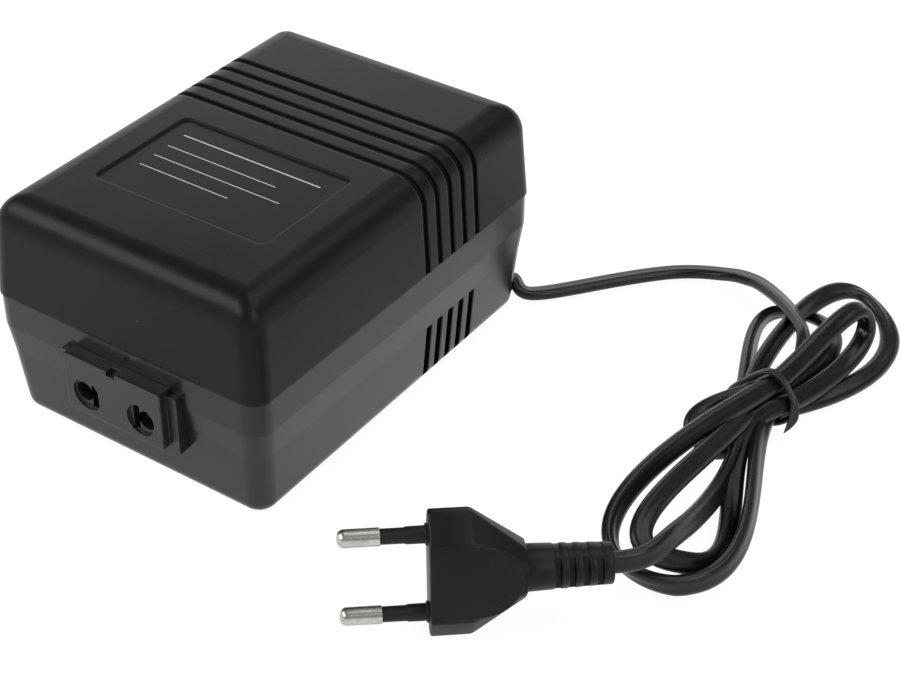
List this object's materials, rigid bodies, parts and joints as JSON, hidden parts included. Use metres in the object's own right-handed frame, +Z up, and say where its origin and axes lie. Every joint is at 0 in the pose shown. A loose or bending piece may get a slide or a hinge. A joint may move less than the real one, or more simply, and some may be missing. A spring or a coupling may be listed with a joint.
{
  "type": "travel voltage converter",
  "caption": "Plug-in autotransformer travel voltage converter: two-shell case with a twin-aperture outlet and a tied mains cord with a flat two-pin plug.",
  "frame": {"origin": "centre of the case's flat underside", "axes": "+Z up, -Y towards the outlet, the cord leaves at the +X +Y corner"},
  "size_m": [0.1763, 0.1749, 0.0601],
  "materials": {
    "case_plastic": "black ABS, satin to glossy moulding",
    "outlet_plastic": "black ABS",
    "holder_plastic": "natural nylon",
    "contact_brass": "stamped brass",
    "core_steel": "varnished silicon steel sheets",
    "zinc_steel": "zinc plated steel",
    "bobbin_plastic": "glass-filled nylon",
    "winding_copper": "enamelled copper wire",
    "winding_tape": "polyester tape",
    "tinned_brass": "tinned brass",
    "fuse_metal": "bare can",
    "sleeve_plastic": "clear tubing",
    "wire_brown": "PVC insulation",
    "wire_blue": "PVC insulation",
    "bushing_rubber": "black rubber",
    "cord_pvc": "black PVC, satin",
    "tie_plastic": "black plastic over wire",
    "plug_plastic": "black moulded PVC",
    "pin_nickel": "nickel plated brass",
    "pin_sleeve_plastic": "dark insulating sleeve"
  },
  "bodies": {
    "root": {"upper_shell": "case_plastic", "lower_shell": "case_plastic", "case_screws": "zinc_steel", "outlet_plate": "outlet_plastic", "outlet_contact_holder": "holder_plastic", "outlet_contact_left": "contact_brass", "outlet_contact_right": "contact_brass", "core_e_stack": "core_steel", "core_i_stack": "core_steel", "core_washers": "zinc_steel", "core_screws": "zinc_steel", "bobbin": "bobbin_plastic", "common_winding": "winding_copper", "series_winding": "winding_copper", "winding_tape": "winding_tape", "bobbin_lugs": "tinned_brass", "thermal_fuse": "fuse_metal", "fuse_sleeve": "sleeve_plastic", "wire_input_live": "wire_brown", "wire_input_neutral": "wire_blue", "wire_output_live": "wire_brown", "wire_fuse_outlet": "wire_brown", "wire_output_neutral": "wire_blue", "cord_bushing": "bushing_rubber", "cord_inside": "cord_pvc", "cord_clamp": "holder_plastic", "clamp_screws": "zinc_steel", "cord_lead": "cord_pvc", "cord_hank": "cord_pvc", "cord_tie": "tie_plastic", "cord_tail": "cord_pvc", "plug_body": "plug_plastic", "plug_pins": "pin_nickel", "pin_sleeves": "pin_sleeve_plastic"}
  },
  "joints": []
}
